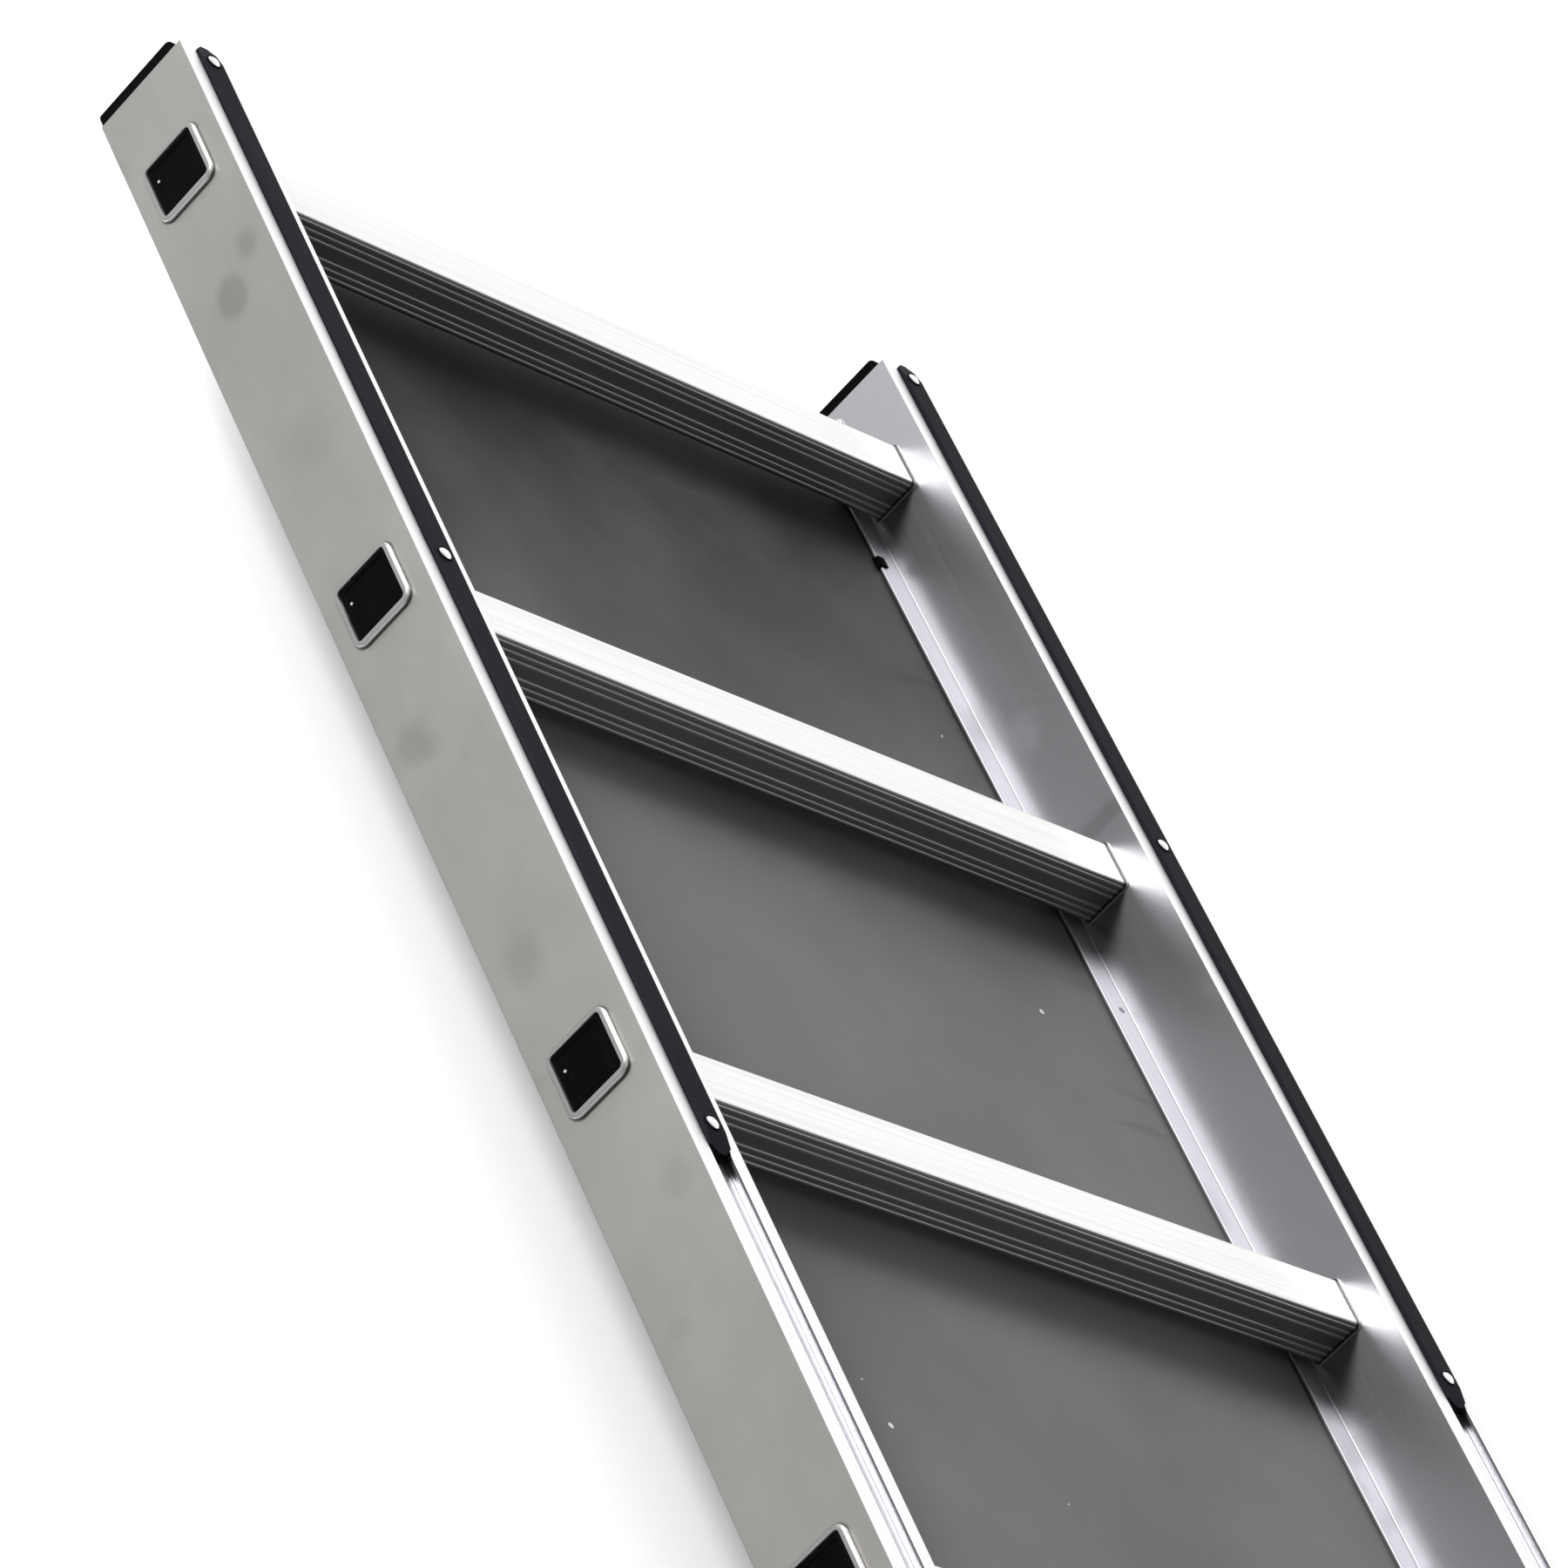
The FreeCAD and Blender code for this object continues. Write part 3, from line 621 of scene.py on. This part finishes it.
zinc = zincPaint(zincFinish)
paints = {
    "stile": stilePaint(stileFinish),
    "rung": rungPaint(rungFinish),
    "board": boardPaint(boardFinish),
    "cap": plasticPaint("cap", plasticSkin),
    "strip": plasticPaint("strip", plasticSkin),
    "nylon": plasticPaint("nylon", plasticSkin),
    "strip_rivet": metalPaint("stripRivet", metalSkin),
    "rivet": metalPaint("rivet", metalSkin),
    "hook": metalPaint("hook", metalSkin),
    "foot": rubberPaint(rubberFinish),
    "bracket": zinc,
    "steel": zinc,
}
slots = {entry["node"]: entry["material_slot"] for entry in frame["record"]["subparts"]}
for name, node in nodes.items():
    node.data.materials.clear()
    node.data.materials.append(paints[slots[name]])
print("finishes given:", len(paints))


# Meshes

def newObject(name, mesh):
    made = bpy.data.objects.new(name, mesh)
    bpy.context.scene.collection.objects.link(made)
    return made


def settled(thing):
    # the mesh that an object has once its modifiers are worked out
    ready = thing.evaluated_get(bpy.context.evaluated_depsgraph_get())
    return bpy.data.meshes.new_from_object(ready)


def roundRing(radius, height, steps=24, centre=(0, 0)):
    ring = []
    for i in range(steps):
        t = 2 * math.pi * i / steps
        ring.append(Vector((centre[0] + radius * math.cos(t), centre[1] + radius * math.sin(t), height)))
    return ring


def squareRing(half, radius, height, steps=5):
    # a square with rounded corners, of the same number of points whatever its size
    ring = []
    core = math.sqrt(2) * (half - radius)
    for corner in range(4):
        middle = quarterTurn * (corner + 0.5)
        for i in range(steps):
            t = middle + quarterTurn * (i / (steps - 1) - 0.5)
            x = core * math.cos(middle) + radius * math.cos(t)
            y = core * math.sin(middle) + radius * math.sin(t)
            ring.append(Vector((x, y, height)))
    return ring


def stack(work, rings, mark=None, value=0.0):
    # a closed skin through rings from the bottom up, capped at both ends
    loops = [[work.verts.new(point) for point in ring] for ring in rings]
    if mark:
        for loop in loops:
            for vert in loop:
                vert[mark] = value
    count = len(loops[0])
    for lower, upper in zip(loops, loops[1:]):
        for i in range(count):
            j = (i + 1) % count
            work.faces.new((lower[i], lower[j], upper[j], upper[i]))
    work.faces.new(loops[0][::-1])
    work.faces.new(loops[-1])


def finishMesh(work, name):
    bmesh.ops.recalc_face_normals(work, faces=work.faces)
    for face in work.faces:
        face.smooth = True
    mesh = bpy.data.meshes.new(name)
    work.to_mesh(mesh)
    work.free()
    mesh.set_sharp_from_angle(angle=sharpAngle)
    return mesh


def turned(name, profile):
    # a round item from its profile: (radius, height) pairs from the bottom up
    work = bmesh.new()
    stack(work, [roundRing(radius, height) for radius, height in profile])
    return finishMesh(work, name)


def carve(thing, tool):
    # cuts one mesh object out of another, and clears both away
    modifier = thing.modifiers.new("cut", "BOOLEAN")
    modifier.operation = "DIFFERENCE"
    modifier.object = tool
    mesh = settled(thing)
    for used in (thing, tool):
        bpy.data.objects.remove(used)
    mesh.set_sharp_from_angle(angle=sharpAngle)
    return mesh


# Geometry Nodes trees, which are all begun and ended alike

def beginTree(name, inputs, output):
    # inputs: (name, kind) pairs; gives the tree's web and a link from each input
    tree = bpy.data.node_groups.new(name, "GeometryNodeTree")
    for label, kind in inputs:
        tree.interface.new_socket(label, in_out="INPUT", socket_type="NodeSocket" + kind)
    tree.interface.new_socket(output, in_out="OUTPUT", socket_type="NodeSocketGeometry")
    given = tree.nodes.new("NodeGroupInput")
    web = Web(tree)
    return web, [Link(web, out) for out in given.outputs[:len(inputs)]]


def endTree(web, shape, material):
    shape = web.node("GeometryNodeRealizeInstances", {}, {0: shape})
    shape = web.node("GeometryNodeSetMaterial", {}, {"Geometry": shape, "Material": material})
    web.node("NodeGroupOutput", {}, {0: shape})
    return web.tree


def runTree(carrier, tree, inputs, name):
    # puts a tree on an object with its inputs set, and keeps the result as a plain mesh
    modifier = carrier.modifiers.new("nodes", "NODES")
    modifier.node_group = tree
    for entry in tree.interface.items_tree:
        if entry.in_out == "INPUT" and entry.name in inputs:
            modifier[entry.identifier] = inputs[entry.name]
    mesh = settled(carrier)
    mesh.name = name
    carrier.modifiers.clear()
    bpy.data.objects.remove(carrier)
    return newObject(name, mesh)


def repeatTree():
    # one item at each point of a mesh, turned as the point says
    inputs = [("Places", "Geometry"), ("Item", "Object"), ("Size", "Float"), ("Material", "Material")]
    web, (places, item, size, material) = beginTree("repeatItem", inputs, "Parts")
    shape = web.node("GeometryNodeObjectInfo", {}, {"Object": item}, "Geometry")
    settings = {"data_type": "FLOAT_VECTOR"}
    turn = web.node("GeometryNodeInputNamedAttribute", settings, {"Name": "turn"}, "Attribute")
    turn = web.node("FunctionNodeEulerToRotation", {}, {0: turn})
    values = {"Points": places, "Instance": shape, "Rotation": turn, "Scale": size}
    return endTree(web, web.node("GeometryNodeInstanceOnPoints", {}, values), material)


repeatItem = repeatTree()


def repeat(name, itemMesh, places, paint, size=1.0):
    # places: (point, turn) pairs
    mesh = bpy.data.meshes.new("places")
    mesh.from_pydata([at for at, turn in places], [], [])
    turns = mesh.attributes.new("turn", "FLOAT_VECTOR", "POINT")
    turns.data.foreach_set("vector", [part for at, turn in places for part in turn])
    item = newObject("item", itemMesh)
    inputs = {"Item": item, "Size": size, "Material": paint}
    piece = runTree(newObject("places", mesh), repeatItem, inputs, name)
    bpy.data.objects.remove(item)
    return piece


def give(piece, body, slot, *replaced):
    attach(piece, body)
    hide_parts(*replaced)


def sidePlaces(node, outwards):
    # the middle of each solid's outer or inner face, turned so that an item's top looks off that face
    places = []
    for low, high in solidBoxes(node):
        toRight = (low.x > 0) == outwards
        x, turn = (high.x, quarterTurn) if toRight else (low.x, -quarterTurn)
        places.append(((x, (low.y + high.y) / 2, (low.z + high.z) / 2), (0.0, turn, 0.0)))
    return places


def frontPlaces(node):
    # the same for each solid's front face
    places = []
    for low, high in solidBoxes(node):
        places.append((((low.x + high.x) / 2, (low.y + high.y) / 2, high.z), (0.0, 0.0, 0.0)))
    return places


# Plugs in the rungs' ends

plugShape = {
    "half": 0.0156,
    "corner": 0.0020,
    "depth": 0.0030,
    "edge": 0.0005,
    "rim": 0.0024,
    "dish": 0.0004,
    "gate": 0.00075,         # the moulding's gate mark, near the back edge, which is painted pale as a highlight
    "gateAt": (-0.0112, 0.0050),
    # shares of the gate mark's size, and heights above the face
    "gateRings": [(1.0, -0.0006), (1.0, 0.0001), (0.7, 0.0003), (0.3, 0.00036)],
}


def plugItem(s):
    work = bmesh.new()
    mark = work.verts.layers.float.new("gate")
    half, corner, edge = s["half"], s["corner"], s["edge"]
    inner = half - s["rim"]
    rings = [
        squareRing(half, corner, -s["depth"]),
        squareRing(half, corner, -edge),
        squareRing(half - edge / 3, corner, -edge / 3),
        squareRing(half - edge, corner * 0.8, 0),
        squareRing(inner, corner * 0.6, 0),
        squareRing(inner - s["dish"], corner * 0.5, -s["dish"]),
    ]
    stack(work, rings, mark, 0.0)
    rings = [roundRing(s["gate"] * share, height, 10, s["gateAt"]) for share, height in s["gateRings"]]
    stack(work, rings, mark, 1.0)
    return finishMesh(work, "plug")


for section in ("base", "fly"):
    node = section + "_rung_plugs"
    places = sidePlaces(node, True)
    piece = repeat(section + "_plug_faces", plugItem(plugShape), places, paints["cap"])
    give(piece, section + "_section", "cap", node)
print("rung plugs made")

# Rivets

rivetShape = {
    "radius": 0.0033,
    "height": 0.0015,        # of the head, whose crown is at height 0
    "flange": 0.0003,
    "bulge": 0.0001,         # the flange's rounded edge
    "crown": 0.0004,         # the flat on a solid rivet's dome
    "mandrel": 0.0009,
    "well": 0.0007,          # a blind rivet's broken mandrel lies in it
    "wellEdge": 0.00012,
    "shank": 0.0016,
    "shankDepth": 0.0014,
    "steps": 5,
    "stripSize": 1.12,       # the wear strips' rivets are larger
}


def domeRings(radius, height, top, steps):
    # rings up a shallow dome, from its edge to the ring of radius top
    sphere = (radius * radius + height * height) / (2 * height)
    rings = []
    for i in range(steps + 1):
        r = radius + (top - radius) * i / steps
        rings.append((r, math.sqrt(sphere * sphere - r * r) - sphere))
    return rings


def rivetItem(s, hollow):
    under, radius, mandrel, well = -s["height"], s["radius"], s["mandrel"], s["well"]
    profile = [(s["shank"], under - s["shankDepth"]), (s["shank"], under), (radius, under)]
    profile += [(radius + s["bulge"], under + s["flange"] / 2)]
    crown = mandrel * 1.35 if hollow else s["crown"]
    profile += domeRings(radius - s["bulge"], s["height"] - s["flange"], crown, s["steps"])
    if hollow:
        profile += [(mandrel * 1.15, -s["wellEdge"]), (mandrel, -well)]
        profile += [(mandrel * 0.8, -well), (mandrel * 0.6, -well * 0.6)]
    return turned("rivet", profile)


seatShape = {"radius": 0.0044, "height": 0.0006, "depth": 0.0006, "round": 0.0003, "flat": 0.0004}


def seatItem(s):
    # the pressed collar in the strip, round each rivet's head
    radius, height, inner = s["radius"], s["height"], s["radius"] - s["round"]
    profile = [(radius, -s["depth"]), (radius, height * 0.5), (inner, height)]
    profile += [(inner - s["flat"], height), (inner - 2 * s["flat"], height * 0.2)]
    return turned("seat", profile)


stripPlaces = frontPlaces("strip_rivets")
item, size = rivetItem(rivetShape, False), rivetShape["stripSize"]
piece = repeat("strip_rivet_heads", item, stripPlaces, paints["strip_rivet"], size)
give(piece, "fly_section", "strip_rivet", "strip_rivets")
seatPlaces = [((x, y, stripTop), turn) for (x, y, z), turn in stripPlaces]
piece = repeat("strip_rivet_seats", seatItem(seatShape), seatPlaces, paints["strip"])
give(piece, "fly_section", "strip")
blindRivets = [
    # piece, node that it replaces, body, on an outer face
    ("guide_rivet_heads", "guide_rivets", "base_section", True),
    ("lock_rivet_heads", "lock_rivets", "fly_section", False),
]
for name, node, section, outwards in blindRivets:
    piece = repeat(name, rivetItem(rivetShape, True), sidePlaces(node, outwards), paints["rivet"])
    give(piece, section, "rivet", node)

# Screws

screwShape = {
    "radius": 0.0034,
    "height": 0.0016,
    "profile": [(1.0, 0.55), (0.93, 0.25), (0.8, 0.08), (0.5, 0.0)],     # shares of radius and height
    "shank": 0.0016,
    "shankDepth": 0.0014,
    "slot": 0.00085,
    "arm": 0.0021,
    "deep": 0.0010,
    "taper": (0.6, 1.15),    # the recess's size at its floor, and as far above the crown
}


def screwItem(s):
    # a pan head with a cross recess
    under = -s["height"]
    profile = [(s["shank"], under - s["shankDepth"]), (s["shank"], under), (s["radius"], under)]
    profile += [(s["radius"] * across, under * down) for across, down in s["profile"]]
    head = newObject("head", turned("screw", profile))
    wide, arm = s["slot"] / 2, s["arm"]
    cross = [(wide, arm), (wide, wide), (arm, wide), (arm, -wide), (wide, -wide), (wide, -arm)]
    cross += [(-x, y) for x, y in cross[::-1]]
    rings = []
    for size, height in zip(s["taper"], (-s["deep"], s["deep"])):
        rings.append([Vector((x * size, y * size, height)) for x, y in cross])
    work = bmesh.new()
    stack(work, rings)
    return carve(head, newObject("cross", finishMesh(work, "cross")))


for section in ("base", "fly"):
    node = section + "_cap_screws"
    places = sidePlaces(node, False)
    piece = repeat(section + "_screw_heads", screwItem(screwShape), places, paints["steel"])
    give(piece, section + "_section", "steel", node)
print("rivets and screws made")

# Board clips: small folded springs on the lips' edges

clipShape = {
    "length": 0.0072,
    "sheet": 0.0008,
    "reach": 0.0042,
    "drop": 0.0006,
    "foot": 2.6,             # times the sheet, from the bend to the rolled foot's tip
    "heel": (0.8, 1.6),      # times the sheet, across and down
    "round": 0.0002,
    "past": 0.0034,          # from the CAD clip's edge to the bend
}


def clipItem(s):
    # an L of sheet along X and down Z, with a rolled foot, drawn about the middle of its length
    t, reach, drop, foot = s["sheet"], s["reach"], s["drop"], s["foot"] * s["sheet"]
    heelX, heelZ = s["heel"]
    outline = [(-reach, t), (0.0, t), (t, 0.0), (t, -drop), (foot, -drop - t), (foot, -drop - 2 * t)]
    outline += [(heelX * t, -drop - heelZ * t), (0.0, -drop), (0.0, 0.0), (-reach, 0.0)]
    work = bmesh.new()
    stack(work, [[Vector((x, y, z)) for x, z in outline] for y in (s["length"] / 2, -s["length"] / 2)])
    clip = newObject("clip", finishMesh(work, "clip"))
    bevel = clip.modifiers.new("round", "BEVEL")
    bevel.width = s["round"]
    bevel.segments = 2
    mesh = settled(clip)
    bpy.data.objects.remove(clip)
    return mesh


clipPlaces = []
for low, high in solidBoxes("board_clips"):
    onLeft = high.x < 0
    bend = high.x - clipShape["past"] if onLeft else low.x + clipShape["past"]
    turn = (0.0, 0.0, 0.0 if onLeft else math.pi)
    clipPlaces.append(((bend, (low.y + high.y) / 2, high.z - clipShape["sheet"]), turn))
piece = repeat("board_spring_clips", clipItem(clipShape), clipPlaces, paints["cap"])
give(piece, "fly_section", "cap", "board_clips")

# Lock springs: a coil about X with a leg at each end

springShape = {"turns": 4.25, "wire": 0.0009, "leg": 0.013, "sides": 10, "resolution": 26}


def springTree(s):
    inputs = [("Base", "Geometry")]
    inputs += [(name, "Float") for name in ("Turns", "Radius", "Length", "Wire", "Leg")]
    inputs += [("Place", "Vector"), ("Material", "Material")]
    web, links = beginTree("coilSpring", inputs, "Spring")
    turns, radius, length, wire, leg, place, material = links[1:]
    values = {"Resolution": s["resolution"], "Rotations": turns, "Height": length}
    values.update({"Start Radius": radius, "End Radius": radius})
    parts = [web.node("GeometryNodeCurveSpiral", {}, values)]
    back = leg * -1.0
    firstLeg = ({0: radius}, {0: radius, 1: back})
    lastLeg = ({1: radius, 2: length}, {0: back, 1: radius, 2: length})
    for start, end in (firstLeg, lastLeg):
        start = web.node("ShaderNodeCombineXYZ", {}, start)
        end = web.node("ShaderNodeCombineXYZ", {}, end)
        parts.append(web.node("GeometryNodeCurvePrimitiveLine", {}, {"Start": start, "End": end}))
    line = web.node("GeometryNodeJoinGeometry", {}, {0: parts})
    section = web.node("GeometryNodeCurvePrimitiveCircle", {}, {"Resolution": s["sides"], "Radius": wire})
    values = {"Curve": line, "Profile Curve": section, "Fill Caps": True}
    tube = web.node("GeometryNodeCurveToMesh", {}, values)
    values = {"Geometry": tube, "Translation": place, "Rotation": (0.0, quarterTurn, 0.0)}
    tube = web.node("GeometryNodeTransform", {}, values)
    return endTree(web, web.node("GeometryNodeSetShadeSmooth", {}, {0: tube}), material)


coilSpring = springTree(springShape)
for side in ("left", "right"):
    low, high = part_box("lock_spring_" + side)
    wire = springShape["wire"]
    inputs = {
        "Turns": springShape["turns"],
        "Radius": (high.y - low.y) / 2 - wire,
        "Length": high.x - low.x - 2 * wire,
        "Wire": wire,
        "Leg": springShape["leg"],
        "Place": Vector((low.x + wire, (low.y + high.y) / 2, (low.z + high.z) / 2)),
        "Material": paints["steel"],
    }
    carrier = newObject("carrier", bpy.data.meshes.new("carrier"))
    piece = runTree(carrier, coilSpring, inputs, "lock_coil_" + side)
    give(piece, "fly_section", "steel", "lock_spring_" + side)
print("clips and springs made")
